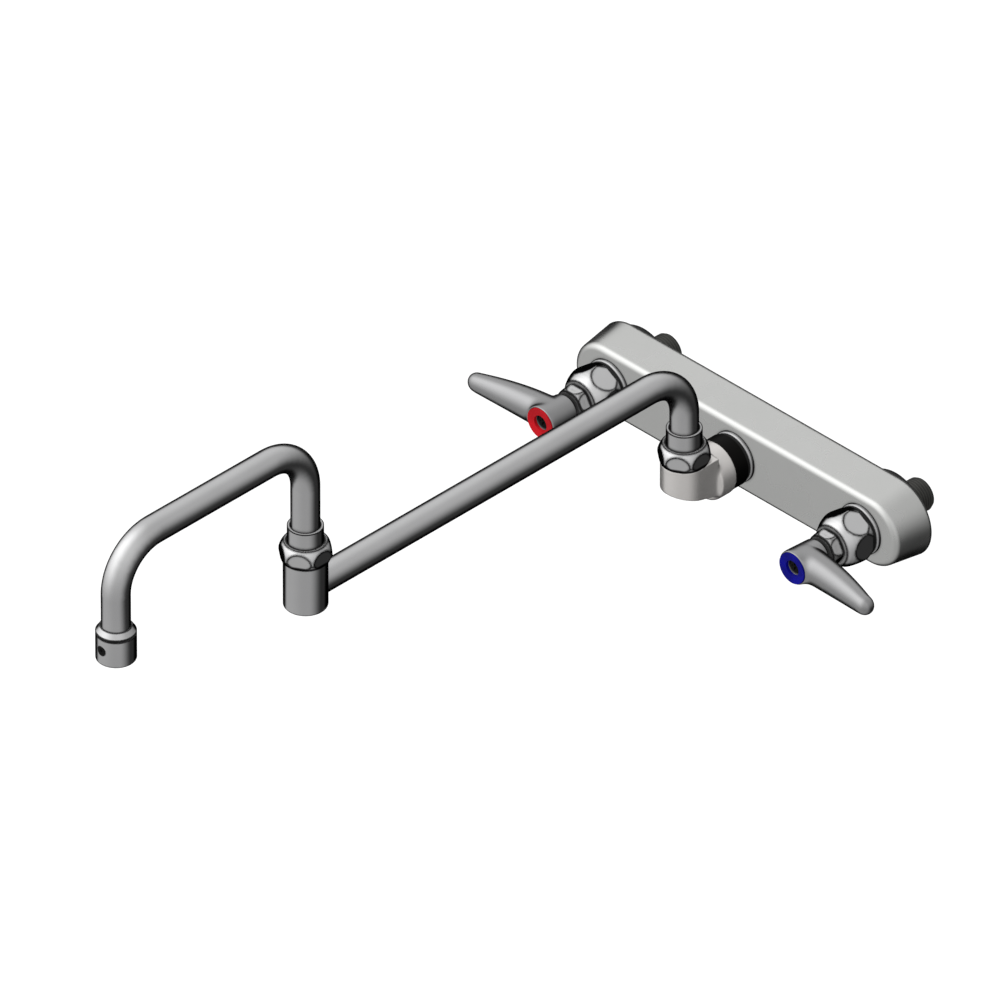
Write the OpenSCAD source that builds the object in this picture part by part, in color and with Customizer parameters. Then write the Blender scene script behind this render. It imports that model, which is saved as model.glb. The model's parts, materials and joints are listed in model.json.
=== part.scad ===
// Wall-mounted mixing faucet with two lever handles and a double-jointed swing spout.
// Millimetres, +Z up, +X along the body towards the cold side, +Y into the wall.
// The origin lies on the wall, midway between the two supply shanks.

/* [Valve body] */
// Distance between the two supply shanks
inlet_spacing = 203.2; // [150:0.1:260]
// Metal of the body beyond each shank, measured along it
body_end = 6.35; // [0:0.05:20]
// Height of the body at the wall
body_h = 50.8; // [49:0.1:60]
// Depth of the body from back to front
body_depth = 25.4; // [24.5:0.1:32]
// Angle that the sides of the casting lean inwards
body_draft = 8.2; // [0:0.1:9]
// Rounding of the front edge of the body
body_edge_r = 4; // [1:0.1:6]
// Least wall of the casting
cast_wall = 3.6; // [2.5:0.1:5]
// Radius of the drilled waterway along the body
waterway_r = 3.4; // [2.5:0.1:3.6]

/* [Supply shanks] */
// Outer diameter of a supply shank
shank_d = 21; // [18:0.1:22]
// Length of a shank behind the wall
shank_reach = 21; // [12:0.1:60]
// Bore of a shank
shank_bore_d = 13; // [8:0.1:15]
// Depth to which a shank is screwed into the body
shank_depth = 7.6; // [5:0.1:7.8]
// Chamfer on the free end of a shank
shank_chamfer = 1.5; // [0.5:0.1:2]
// Diameter of a wall washer
washer_d = 49.6; // [30:0.1:50]
// Thickness of a wall washer
washer_t = 3.5; // [2:0.1:6]

/* [Valves] */
// Diameter of the thread that holds a bonnet in the body
bonnet_thread_d = 24; // [22:0.1:26]
// Length of that thread inside the body
bonnet_thread_l = 7.2; // [5:0.1:7.2]
// Diameter of the trim ring under a bonnet
ring_d = 32.2; // [31:0.1:40]
// Thickness of a trim ring
ring_t = 2.6; // [1.5:0.1:4]
// Diameter of the black gasket on a trim ring
gasket_d = 30; // [28:0.1:32]
// Thickness of that gasket
gasket_t = 2; // [1:0.1:3]
// Bonnet hexagon, across its flats
bonnet_af = 30.6; // [28:0.1:32]
// Bonnet hexagon, greatest diameter left by its rounded corners
bonnet_d = 35.2; // [33:0.1:36.8]
// Length of the bonnet hexagon with its dome
bonnet_l = 19.4; // [16:0.1:24]
// Packing nut hexagon, across its flats
packing_nut_af = 20; // [19.5:0.1:23]
// Packing nut, greatest diameter left by its rounded corners
packing_nut_d = 22.6; // [22:0.1:24]
// Length of a packing nut
packing_nut_l = 7.8; // [7:0.1:12]
// Diameter of a spindle
spindle_d = 10; // [8:0.1:10.4]
// Diameter of the round hole in a valve seat
seat_hole_d = 9.2; // [8:0.1:10]
// Diameter of a rubber seat washer
seat_washer_d = 12.8; // [11.5:0.1:13.2]
// Thickness of a rubber seat washer
seat_washer_t = 3; // [2:0.1:3.4]
// Travel of a valve carrier from shut to fully open
valve_lift = 3; // [1:0.1:3.2]

/* [Handles] */
// Diameter of a handle hub at its front
hub_d = 22; // [21.4:0.1:24]
// Diameter of a handle hub at its back
hub_foot_d = 20; // [15:0.1:22]
// Length of a handle hub
hub_l = 21.4; // [20:0.1:26]
// Gap between a packing nut and its handle
hub_gap = 2.2; // [1:0.1:5]
// Reach of a lever from the spindle axis to the middle of its tip
lever_reach = 54.5; // [40:0.1:90]
// Radius of a lever tip
lever_tip_r = 6.3; // [4:0.1:7]
// Height of a lever where it leaves the hub
lever_root_h = 21.4; // [14:0.1:21.5]
// Thickness of a lever where it leaves the hub
lever_root_t = 20; // [12:0.1:20]
// Distance that the tip of a lever lies in front of its root
lever_rise = 7; // [0:0.1:15]
// Diameter of a coloured index ring
index_d = 19.6; // [17:0.1:19.6]
// Thickness of an index ring
index_t = 2.2; // [1.5:0.1:3]
// Diameter of a handle screw head
screw_head_d = 8.4; // [7:0.1:9]

/* [Outlet elbow] */
// Distance from the front of the body to the axis of the base swivel
swivel_reach = 41.2; // [38:0.1:60]
// Diameter of the horizontal part of the elbow
elbow_d = 33.6; // [31:0.1:36]
// Length of the horizontal part of the elbow
elbow_l = 12; // [10:0.1:14]
// Diameter of the upright cup of the elbow
cup_d = 27.8; // [27:0.1:30]
// Width of the neck between the cup and the horizontal part
cup_neck_w = 27.2; // [24:0.1:27.4]
// Underside of the cup at its front, below the axis of the body
cup_front_drop = 0; // [0:0.1:4]
// Underside of the cup's neck at the horizontal part, below that axis
cup_root_drop = 8.6; // [5:0.1:11]
// Top of the cup, above the axis of the body
cup_top = 18; // [17.6:0.1:24]
// Diameter of the dark lock ring between body and elbow
lock_ring_d = 32.4; // [30:0.1:36]
// Length of that lock ring
lock_ring_l = 10; // [6:0.1:14]
// Diameter of the nipple that joins body and elbow
nipple_d = 19; // [17:0.1:20]
// Bore of that nipple
nipple_bore_d = 13; // [10:0.1:14]

/* [Swivel joints] */
// Swivel nut hexagon, across its flats
nut_af = 28; // [27:0.1:29]
// Swivel nut, greatest diameter left by its rounded corners
nut_d = 31.6; // [31:0.1:33]
// Height of the hexagon of a swivel nut
nut_h = 12.3; // [9:0.1:16]
// Diameter of the ferrule that turns in a swivel joint
ferrule_d = 21.2; // [20.4:0.1:21.4]
// Height of a ferrule above its nut
ferrule_rise = 10.3; // [4:0.1:16]
// Running clearance of a ferrule, on the radius
swivel_clear = 0.08; // [0.03:0.01:0.1]
// Diameter of the thread of a swivel nut
gland_thread_d = 23.6; // [23:0.1:24]
// Diameter of the barrel between the two arms
barrel_d = 26; // [25.6:0.1:30]
// Height of that barrel
barrel_h = 32.4; // [30:0.1:40]
// Height of the arm's middle above the underside of the barrel
barrel_inlet_rise = 11; // [9.6:0.1:12]
// Rounding of the barrel's edges
barrel_edge_r = 1; // [0.3:0.1:1.5]

/* [Spout arms] */
// Outer diameter of the spout tube
tube_d = 17.1; // [15:0.1:18.2]
// Wall of the spout tube
tube_wall = 1.2; // [0.8:0.1:1.6]
// Radius of the tube's bends, to the middle of the tube
bend_r = 30; // [20:0.1:32]
// Length of the inner arm, swivel to swivel
inner_reach = 304.8; // [150:0.1:400]
// Height of the inner arm above the axis of the body
inner_z = 81; // [75:0.1:120]
// Length of the outer arm, swivel to outlet
outer_reach = 150.4; // [90:0.1:300]
// Height of the outer arm's crown above the inner arm
outer_rise = 101.2; // [90:0.1:160]

/* [Outlet tip] */
// Diameter of the outlet tip
tip_d = 23.7; // [22:0.1:28]
// Height of the outlet tip without its collar
tip_h = 17.5; // [16:0.1:22]
// Height of the coned collar above the groove of the tip
tip_collar_h = 3.8; // [2.4:0.1:6]
// Diameter of that collar at its top
tip_collar_top_d = 18.6; // [18.4:0.1:20]
// Height of the groove under that collar
tip_groove_h = 1.2; // [0.6:0.1:2]
// Depth of that groove
tip_groove_depth = 1.4; // [0.5:0.1:2]
// Height of the tip's rim above the middle of the inner arm
tip_rise = 28; // [16:0.1:36]
// Diameter of the screw hole in the front of the tip
tip_screw_d = 5.4; // [3:0.1:6]

/* [Hidden] */
$fn = 64;

// Levels and places that follow from the sizes above
body_r = body_h / 2;
body_arc_x = inlet_spacing / 2 + body_end;
face_y = -washer_t - body_depth;
base_y = face_y - swivel_reach;
joint_y = base_y - inner_reach;
tip_y = joint_y - outer_reach;
barrel_floor_z = inner_z - barrel_inlet_rise;
barrel_top_z = barrel_floor_z + barrel_h;
outer_z = inner_z + outer_rise;
tip_rim_z = inner_z + tip_rise;
tube_bore_d = tube_d - 2 * tube_wall;

// Gaps between pieces that fit in each other, on the radius
run_gap = 0.05;
thread_gap = 0.05;
braze_gap = 0.05;
slide_gap = 0.1;
// Overrun that carries a cut past the face it opens
cut = 0.5;
// Steps in which a rounded outline turns
edge_steps = 6;

// Depths inside the body, measured from its front face: the shank ends behind the seat,
// and the waterway runs along the floor of the valve chambers
shank_socket_depth = body_depth - shank_depth - slide_gap;
seat_gap = 0.6;
seat_l = 4.2;
seat_flange_t = 1.2;
seat_thread_d = 14.4;
seat_flange_d = 16.4;
seat_rim_depth = body_depth - shank_depth - seat_gap - seat_l;
chamber_d = 20.4;
chamber_depth = seat_rim_depth + seat_flange_t;
waterway_depth = chamber_depth - waterway_r;
outlet_lip = 0.2;
outlet_depth = chamber_depth + outlet_lip;

// Thread relief of a shank, where it leaves the wall washer
shank_relief_l = 2;
shank_relief_depth = 0.6;

// Cores of the casting, open at the back
core_front_wall = 4.2;
core_post_d = bonnet_thread_d + 2 * cast_wall;
core_centre_post_d = nipple_d + 2 * cast_wall;

// Bonnet and what turns in it, measured forwards from the front of the body
bonnet_foot = ring_t + gasket_t;
bonnet_top = bonnet_foot + bonnet_l;
bonnet_foot_share = 0.9;
bonnet_shoulder_share = 0.28;
bonnet_dome_share = 0.625;
neck_d = 17.6;
neck_l = 5;
packing_chamber_d = 14.6;
packing_depth = 1.6;
packing_chamber_foot = bonnet_top - packing_depth;
packing_nut_gap = 0.8;
packing_nut_foot = bonnet_top + packing_nut_gap;
packing_nut_top = packing_nut_foot + packing_nut_l;
packing_nut_shoulder_share = 0.15;
packing_nut_dome_share = 0.9;
spindle_collar_d = 13;
spindle_collar_t = 2.2;
spindle_collar_rise = 6.6;
spindle_collar_top = bonnet_foot + spindle_collar_rise;
carrier_af = 13.6;
carrier_tail = -seat_rim_depth + seat_washer_t;
carrier_top = 3;
carrier_bore_d = 9.2;
carrier_bore_floor = 2.4;
spindle_thread_d = 9;
spindle_tail_clear = 0.6;
seat_screw_d = 3.2;
seat_screw_l = 5;
seat_screw_head_d = 6;
seat_screw_head_t = 1.8;

// Handle, measured forwards from the front of the body
hub_foot = packing_nut_top + hub_gap;
hub_top = hub_foot + hub_l;
hub_foot_round = 2;
hub_top_round = 0.8;
square_af = 7;
square_share = 0.62;
square_top = hub_foot + hub_l * square_share;
index_seat = hub_top - index_t;
index_proud = 0.3;
index_bore_gap = 0.8;
index_bore_d = screw_head_d + 2 * index_bore_gap;
screw_seat_depth = 5.4;
screw_seat = hub_top - screw_seat_depth;
screw_head_t = 3;
screw_d = 4.2;
screw_l = 9;
screw_cross_w = 1.2;
screw_cross_l = 5;
screw_cross_depth = 1.4;
lever_mid_share = 0.5;
lever_tip_t_share = 0.9;
lever_sides = 28;
lever_rings = 12;
lever_tip_rings = 5;
lever_taper_power = 1.7;

// Elbow, measured forwards from the front of the body
lock_ring_foot = ring_t + gasket_t;
elbow_foot = lock_ring_foot + lock_ring_l;
elbow_front = elbow_foot + elbow_l;
nipple_waterway_gap = 0.4;
nipple_tail = waterway_r + nipple_waterway_gap - waterway_depth;
nipple_engage_l = 8;
nipple_front = elbow_foot + nipple_engage_l;
elbow_chamber_gap = 1.2;
elbow_chamber_front = nipple_front + elbow_chamber_gap;
elbow_edge_r = 0.8;

// Swivel joint, measured up from the top of the cup or barrel
socket_d = ferrule_d + 2 * swivel_clear;
gland_l = 4.2;
ring_shelf = 5.9;
ring_top = -4.45;
retaining_ring_t = 1.2;
retaining_ring_d = 22.6;
retaining_ring_opening = 24;
ferrule_foot = -10.2;
ferrule_bore_d = 11.4;
o_ring_wire_d = 2.5;
o_ring_z = -8.2;
o_ring_rub = 0.04;
o_ring_mid_r = ferrule_d / 2 + swivel_clear - o_ring_rub - o_ring_wire_d / 2;
o_ring_groove_h = 2.7;
ring_groove_depth = 0.9;
ring_groove_d = ferrule_d - 2 * ring_groove_depth;
nut_foot_share = 0.9;
nut_shoulder_share = 0.31;
nut_dome_share = 0.41;
barrel_floor_t = 3.5;
arm_seat_share = 0.75;

// Cup of the elbow, its floor thinnest under the front of the socket
cup_front = swivel_reach + cup_d / 2;
cup_slope = (cup_root_drop - cup_front_drop) / (cup_front - elbow_front);
cup_floor_t = 2;
cup_floor_z = cup_floor_t - cup_front_drop - cup_slope * (cup_d - socket_d) / 2;
passage_r = 3.2;
passage_lip = 0.3;
passage_z = cup_floor_z + passage_lip + passage_r;

// Outlet tip, measured up from its rim
tip_top = tip_h + tip_groove_h + tip_collar_h;
tip_tube_seat = 13.5;
aerator_d = 19.4;
aerator_l = 7.6;
aerator_wall = 1.2;
aerator_plate_t = 1.8;
aerator_hole_d = 1.4;
aerator_hole_count = 12;
aerator_hole_ring_share = 0.62;
aerator_gasket_t = 1.9;
screen_t = 0.7;
screen_pitch = 2.4;
screen_hole_w = 1.7;
tip_screw_z = 9.8;
tip_screw_l = 1.6;
tip_screw_socket_af = 2.5;
tip_screw_socket_depth = 0.9;

// Points on an arc about c, from angle a to angle b
function arc(c, r, a, b, n) = [for (i = [0:n]) c + r * [cos(a + (b - a) * i / n), sin(a + (b - a) * i / n)]];

// Half of the body's section: distance from the middle line and distance forwards
function body_side() = let (
        edge_r = body_r - (body_depth - body_edge_r) * tan(body_draft) - body_edge_r / cos(body_draft)
    )
    concat([[body_r, -body_depth]], arc([edge_r, -body_edge_r], body_edge_r, body_draft, 90, edge_steps));

// Frame with z pointing forwards from the front of the body
module forwards(x = 0) {
    translate([x, face_y, 0]) rotate([90, 0, 0]) children();
}

module at_valve(side) {
    forwards(side * inlet_spacing / 2) children();
}

// Cylinder from one level to another along z
module rod(d, z0, z1) {
    translate([0, 0, z0]) cylinder(d = d, h = z1 - z0);
}

module tube(d, bore, z0, z1) {
    difference() {
        rod(d, z0, z1);
        rod(bore, z0 - cut, z1 + cut);
    }
}

module hex_rod(af, z0, z1, turn = 0) {
    translate([0, 0, z0]) rotate([0, 0, turn]) cylinder(d = af / cos(30), h = z1 - z0, $fn = 6);
}

module square_rod(af, z0, z1) {
    translate([0, 0, z0]) rotate([0, 0, 45]) cylinder(d = af / cos(45), h = z1 - z0, $fn = 4);
}

// Cone with a rounded rim at either end, whose side runs smoothly into both
module round_cone(foot_d, top_d, z0, z1, foot_round, top_round) {
    foot = [foot_d / 2 - foot_round, z0 + foot_round];
    top = [top_d / 2 - top_round, z1 - top_round];
    way = top - foot;
    side = asin((foot_round - top_round) / norm(way)) - atan2(way[0], way[1]);
    rotate_extrude()
        polygon(concat(
            [[0, z0]],
            arc(foot, foot_round, -90, side, edge_steps),
            arc(top, top_round, side, 90, edge_steps),
            [[0, z1]]
        ));
}

module round_rod(d, z0, z1, foot_round, top_round) {
    round_cone(d, d, z0, z1, foot_round, top_round);
}

// Hexagon with a coned foot and a domed top that round its corners off
module domed_hex(af, d, h, foot_share, shoulder_share, dome_share, turn) {
    shoulder = h * shoulder_share;
    dome_r = d * dome_share;
    intersection() {
        hex_rod(af, -cut, h + cut, turn);
        rotate_extrude()
            polygon(concat(
                [[0, 0], [d / 2 * foot_share, 0]],
                arc([d / 2 - dome_r, shoulder], dome_r, 0, asin((h - shoulder) / dome_r), edge_steps),
                [[0, h]]
            ));
    }
}

module body_solid() {
    side = body_side();
    rotate([90, 0, 90])
        linear_extrude(height = 2 * body_arc_x, center = true)
            polygon(concat(side, [for (i = [len(side) - 1:-1:0]) [-side[i][0], side[i][1]]]));
    for (s = [-1, 1])
        translate([s * body_arc_x, 0, 0]) rotate([0, 0, -90 * s])
            rotate_extrude(angle = 180)
                polygon(concat([[0, -body_depth]], side, [[0, 0]]));
}

// Hollow between the middle post and one valve post, with the waterway left standing in it
module body_core(s) {
    core_h = body_h - 2 * body_depth * tan(body_draft) - 2 * cast_wall;
    core_l = inlet_spacing / 2;
    difference() {
        translate([s > 0 ? 0 : -core_l, -core_h / 2, -body_depth - cut])
            cube([core_l, core_h, body_depth + cut - core_front_wall]);
        rod(core_centre_post_d, -body_depth - 2 * cut, cut);
        translate([s * inlet_spacing / 2, 0, 0]) rod(core_post_d, -body_depth - 2 * cut, cut);
        translate([s > 0 ? -cut : -core_l - cut, 0, -waterway_depth]) rotate([0, 90, 0])
            cylinder(r = waterway_r + cast_wall, h = core_l + 2 * cut);
    }
}

module valve_body() {
    color("gainsboro") forwards() difference() {
        body_solid();
        for (s = [-1, 1]) {
            body_core(s);
            translate([s * inlet_spacing / 2, 0, 0]) {
                rod(bonnet_thread_d + 2 * thread_gap, -bonnet_thread_l - slide_gap, cut);
                rod(chamber_d, -chamber_depth, cut);
                rod(seat_thread_d + 2 * thread_gap, -body_depth, cut);
                rod(shank_d + 2 * thread_gap, -body_depth - cut, -shank_socket_depth);
            }
        }
        translate([-inlet_spacing / 2, 0, -waterway_depth]) rotate([0, 90, 0])
            cylinder(r = waterway_r, h = inlet_spacing);
        rod(nipple_d + 2 * thread_gap, -outlet_depth, cut);
    }
}

module shank(side) {
    wall = -body_depth - washer_t;
    tail = wall - shank_reach;
    color("dimgray") at_valve(side) difference() {
        union() {
            rod(shank_d, tail + shank_chamfer, -shank_socket_depth - slide_gap);
            translate([0, 0, tail])
                cylinder(d1 = shank_d - 2 * shank_chamfer, d2 = shank_d, h = shank_chamfer);
        }
        rod(shank_bore_d, tail - cut, cut);
        tube(shank_d + 2 * cut, shank_d - 2 * shank_relief_depth, wall, wall + shank_relief_l);
    }
}

module wall_washer(side) {
    color("black") at_valve(side)
        tube(washer_d, shank_d + 2 * slide_gap, -body_depth - washer_t, -body_depth);
}

module valve_seat(side) {
    color("goldenrod") at_valve(side) difference() {
        union() {
            rod(seat_thread_d, -seat_rim_depth - seat_l, -seat_rim_depth - seat_flange_t);
            rod(seat_flange_d, -seat_rim_depth - seat_flange_t, -seat_rim_depth);
        }
        rod(seat_hole_d, -seat_rim_depth - seat_l - cut, cut);
    }
}

module trim_ring(bore) {
    difference() {
        round_rod(ring_d, 0, ring_t, thread_gap, ring_t / 2);
        rod(bore, -cut, ring_t + cut);
    }
}

module bonnet_ring(side) {
    color("silver") at_valve(side) trim_ring(bonnet_thread_d + 2 * slide_gap);
}

module bonnet_gasket(side) {
    color("black") at_valve(side)
        tube(gasket_d, bonnet_thread_d + 2 * slide_gap, ring_t, ring_t + gasket_t);
}

module bonnet(side) {
    color("silver") at_valve(side) difference() {
        union() {
            rod(bonnet_thread_d, -bonnet_thread_l, bonnet_foot);
            translate([0, 0, bonnet_foot])
                domed_hex(bonnet_af, bonnet_d, bonnet_l,
                    bonnet_foot_share, bonnet_shoulder_share, bonnet_dome_share, 30);
            rod(neck_d, bonnet_top, bonnet_top + neck_l);
        }
        hex_rod(carrier_af + 2 * slide_gap, -bonnet_thread_l - cut, spindle_collar_top - spindle_collar_t, 0);
        rod(spindle_collar_d + 2 * slide_gap, 0, spindle_collar_top);
        rod(spindle_d + 2 * slide_gap, 0, bonnet_top);
        rod(packing_chamber_d, packing_chamber_foot, bonnet_top + neck_l + cut);
    }
}

module packing(side) {
    color("ivory") at_valve(side)
        tube(packing_chamber_d, spindle_d + 2 * run_gap, packing_chamber_foot, bonnet_top + neck_l);
}

module packing_nut(side) {
    color("silver") at_valve(side) difference() {
        translate([0, 0, packing_nut_foot])
            domed_hex(packing_nut_af, packing_nut_d, packing_nut_l,
                bonnet_foot_share, packing_nut_shoulder_share, packing_nut_dome_share, 0);
        rod(neck_d + 2 * thread_gap, packing_nut_foot - cut, bonnet_top + neck_l + slide_gap);
        rod(spindle_d + 2 * slide_gap, packing_nut_foot, packing_nut_top + cut);
    }
}

module spindle(side) {
    tail = carrier_tail + carrier_bore_floor + valve_lift + spindle_tail_clear;
    collar_foot = spindle_collar_top - spindle_collar_t;
    color("darkgoldenrod") at_valve(side) difference() {
        union() {
            rod(spindle_thread_d, tail, spindle_collar_top - slide_gap);
            rod(spindle_collar_d, collar_foot + slide_gap, spindle_collar_top - slide_gap);
            rod(spindle_d, collar_foot + slide_gap, hub_foot - slide_gap);
            square_rod(square_af, spindle_collar_top, square_top);
        }
        rod(screw_d + 2 * thread_gap, screw_seat - screw_l - slide_gap, square_top + cut);
    }
}

// Oval across the lever at x, h high and t thick, with its middle on level z
function lever_oval(x, h, t, z) = [for (k = [0:lever_sides - 1])
    let (a = 360 * k / lever_sides) [x, h / 2 * cos(a), z + t / 2 * sin(a)]];

module lever() {
    root_z = hub_foot + hub_l * lever_mid_share;
    tip_h = 2 * lever_tip_r;
    tip_t = tip_h * lever_tip_t_share;
    arm = [for (i = [0:lever_rings]) let (s = i / lever_rings, e = pow(s, lever_taper_power))
        lever_oval(lever_reach * s, lever_root_h + (tip_h - lever_root_h) * e,
            lever_root_t + (tip_t - lever_root_t) * e, root_z + lever_rise * e)];
    tip = [for (i = [1:lever_tip_rings - 1]) let (a = 90 * i / lever_tip_rings)
        lever_oval(lever_reach + lever_tip_r * sin(a), tip_h * cos(a), tip_t * cos(a), root_z + lever_rise)];
    rings = concat(arm, tip);
    n = lever_sides;
    last = len(rings) - 1;
    points = concat([for (r = rings) each r],
        [[0, 0, root_z], [lever_reach + lever_tip_r, 0, root_z + lever_rise]]);
    root_i = n * len(rings);
    skin = [for (i = [0:last - 1], k = [0:n - 1])
        let (a = i * n + k, b = i * n + (k + 1) % n) each [[a, a + n, b], [b, a + n, b + n]]];
    polyhedron(points, concat(
        skin,
        [for (k = [0:n - 1]) [root_i, k, (k + 1) % n]],
        [for (k = [0:n - 1]) [root_i + 1, last * n + (k + 1) % n, last * n + k]]
    ));
}

module handle(side) {
    color("silver") at_valve(side) difference() {
        union() {
            round_cone(hub_foot_d, hub_d, hub_foot, hub_top, hub_foot_round, hub_top_round);
            if (side < 0) mirror([1, 0, 0]) lever(); else lever();
        }
        square_rod(square_af + 2 * slide_gap, hub_foot - cut, square_top + slide_gap);
        rod(screw_d + 2 * slide_gap, hub_foot, hub_top);
        rod(index_bore_d, screw_seat, hub_top + cut);
        rod(index_d + 2 * slide_gap, index_seat, hub_top + cut);
    }
}

module handle_screw(side) {
    color("gray") at_valve(side) difference() {
        union() {
            rod(screw_d, screw_seat - screw_l, screw_seat);
            round_rod(screw_head_d, screw_seat, screw_seat + screw_head_t, thread_gap, hub_top_round);
        }
        for (a = [0, 90])
            translate([0, 0, screw_seat + screw_head_t - screw_cross_depth]) rotate([0, 0, a])
                translate([-screw_cross_l / 2, -screw_cross_w / 2, 0])
                    cube([screw_cross_l, screw_cross_w, screw_cross_depth + cut]);
    }
}

module index_ring(side) {
    color(side < 0 ? "red" : "blue") at_valve(side)
        rotate_extrude() polygon([
            [index_bore_d / 2, index_seat],
            [index_d / 2, index_seat],
            [index_d / 2, hub_top + index_proud],
            [index_bore_d / 2, hub_top - index_proud]
        ]);
}

module valve_carrier(side) {
    color("goldenrod") at_valve(side) difference() {
        hex_rod(carrier_af, carrier_tail, carrier_top, 0);
        rod(carrier_bore_d, carrier_tail + carrier_bore_floor, carrier_top + cut);
        rod(seat_screw_d + 2 * thread_gap, carrier_tail - cut, carrier_tail + carrier_bore_floor + cut);
    }
}

module seat_washer(side) {
    color("black") at_valve(side)
        tube(seat_washer_d, seat_screw_d + 2 * thread_gap, -seat_rim_depth, carrier_tail);
}

module seat_screw(side) {
    color("goldenrod") at_valve(side) {
        rod(seat_screw_head_d, -seat_rim_depth - seat_screw_head_t, -seat_rim_depth);
        rod(seat_screw_d, -seat_rim_depth, -seat_rim_depth + seat_screw_l);
    }
}

module outlet_ring() {
    color("silver") forwards() trim_ring(nipple_d + 2 * slide_gap);
}

module outlet_gasket() {
    color("black") forwards()
        tube(gasket_d, nipple_d + 2 * slide_gap, ring_t, lock_ring_foot);
}

module outlet_lock_ring() {
    color("dimgray") forwards() difference() {
        round_rod(lock_ring_d, lock_ring_foot, elbow_foot, elbow_edge_r, elbow_edge_r);
        rod(nipple_d + 2 * thread_gap, lock_ring_foot - cut, elbow_foot + cut);
    }
}

module outlet_nipple() {
    color("goldenrod") forwards() tube(nipple_d, nipple_bore_d, nipple_tail, nipple_front);
}

// Upright cup with its neck, cut off along a sloping underside
module elbow_cup() {
    difference() {
        translate([0, base_y, -cup_root_drop]) {
            cylinder(d = cup_d, h = cup_root_drop + cup_top);
            translate([-cup_neck_w / 2, 0, 0])
                cube([cup_neck_w, swivel_reach - elbow_front + cut, cup_root_drop + cup_top]);
        }
        translate([-cup_d, face_y, 0]) rotate([90, 0, 90])
            linear_extrude(height = 2 * cup_d)
                polygon([
                    [-cup_front - cut, -cup_front_drop + cut * cup_slope],
                    [-elbow_front, -cup_root_drop],
                    [-elbow_front, -cup_root_drop - cut],
                    [-cup_front - cut, -cup_root_drop - cut]
                ]);
    }
}

module outlet_elbow() {
    color("lightgray") difference() {
        union() {
            forwards() round_rod(elbow_d, elbow_foot, elbow_front, elbow_edge_r, elbow_edge_r);
            elbow_cup();
        }
        forwards() {
            rod(nipple_d + 2 * thread_gap, elbow_foot - cut, elbow_chamber_front);
            translate([0, passage_z, nipple_front]) cylinder(r = passage_r, h = swivel_reach - nipple_front);
        }
        translate([0, base_y, cup_top]) swivel_socket(cup_top - cup_floor_z);
    }
}

// Hole in a cup or barrel that takes a ferrule, its retaining ring and the thread of its nut
module swivel_socket(depth) {
    rod(socket_d, -depth, cut);
    rod(gland_thread_d + 2 * thread_gap, -ring_shelf, cut);
}

module swivel_nut() {
    difference() {
        union() {
            domed_hex(nut_af, nut_d, nut_h, nut_foot_share, nut_shoulder_share, nut_dome_share, 30);
            rod(gland_thread_d, -gland_l, 0);
        }
        rod(socket_d, -gland_l - cut, nut_h + cut);
    }
}

module ferrule() {
    difference() {
        rod(ferrule_d, ferrule_foot, nut_h + ferrule_rise);
        rod(ferrule_bore_d, ferrule_foot - cut, cut);
        rod(tube_d + 2 * braze_gap, 0, nut_h + ferrule_rise + cut);
        tube(ferrule_d + 2 * cut, 2 * o_ring_mid_r - o_ring_wire_d - 2 * thread_gap,
            o_ring_z - o_ring_groove_h / 2, o_ring_z + o_ring_groove_h / 2);
        tube(ferrule_d + 2 * cut, ring_groove_d,
            ring_top - retaining_ring_t - thread_gap, ring_top + thread_gap);
    }
}

module o_ring() {
    rotate_extrude() translate([o_ring_mid_r, o_ring_z]) circle(d = o_ring_wire_d);
}

module retaining_ring() {
    bore_r = ring_groove_d / 2 + thread_gap;
    rotate([0, 0, 90 + retaining_ring_opening / 2])
        rotate_extrude(angle = 360 - retaining_ring_opening)
            translate([bore_r, ring_top - retaining_ring_t])
                square([retaining_ring_d / 2 - bore_r, retaining_ring_t]);
}

module base_swivel_nut() {
    color("silver") translate([0, base_y, cup_top]) swivel_nut();
}

module base_ferrule() {
    color("silver") translate([0, base_y, cup_top]) ferrule();
}

module base_o_ring() {
    color("black") translate([0, base_y, cup_top]) o_ring();
}

module base_retaining_ring() {
    color("gray") translate([0, base_y, cup_top]) retaining_ring();
}

module joint_swivel_nut() {
    color("silver") translate([0, joint_y, barrel_top_z]) swivel_nut();
}

module joint_ferrule() {
    color("silver") translate([0, joint_y, barrel_top_z]) ferrule();
}

module joint_o_ring() {
    color("black") translate([0, joint_y, barrel_top_z]) o_ring();
}

module joint_retaining_ring() {
    color("gray") translate([0, joint_y, barrel_top_z]) retaining_ring();
}

// Quarter bend in the plane of the spout, about a centre at y and z
module bend(d, y, z, turn) {
    translate([0, y, z]) rotate([90, 0, 90]) rotate([0, 0, turn])
        rotate_extrude(angle = 90) translate([bend_r, 0]) circle(d = d);
}

// Straight stretch of round section towards the spout's outlet
module run(d, y, z, l) {
    translate([0, y, z]) rotate([90, 0, 0]) cylinder(d = d, h = l);
}

module inner_arm(d, over) {
    seat = barrel_d / 2 * arm_seat_share;
    translate([0, base_y, 0]) rod(d, cup_top - over, inner_z - bend_r);
    bend(d, base_y - bend_r, inner_z - bend_r, 0);
    run(d, base_y - bend_r, inner_z, inner_reach - bend_r - seat + over);
}

module outer_arm(d, over) {
    translate([0, joint_y, 0]) rod(d, barrel_top_z - over, outer_z - bend_r);
    bend(d, joint_y - bend_r, outer_z - bend_r, 0);
    run(d, joint_y - bend_r, outer_z, outer_reach - 2 * bend_r);
    bend(d, tip_y + bend_r, outer_z - bend_r, 90);
    translate([0, tip_y, 0]) rod(d, tip_rim_z + tip_tube_seat - over, outer_z - bend_r);
}

module inner_arm_tube() {
    color("silver") difference() {
        inner_arm(tube_d, 0);
        inner_arm(tube_bore_d, cut);
    }
}

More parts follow.
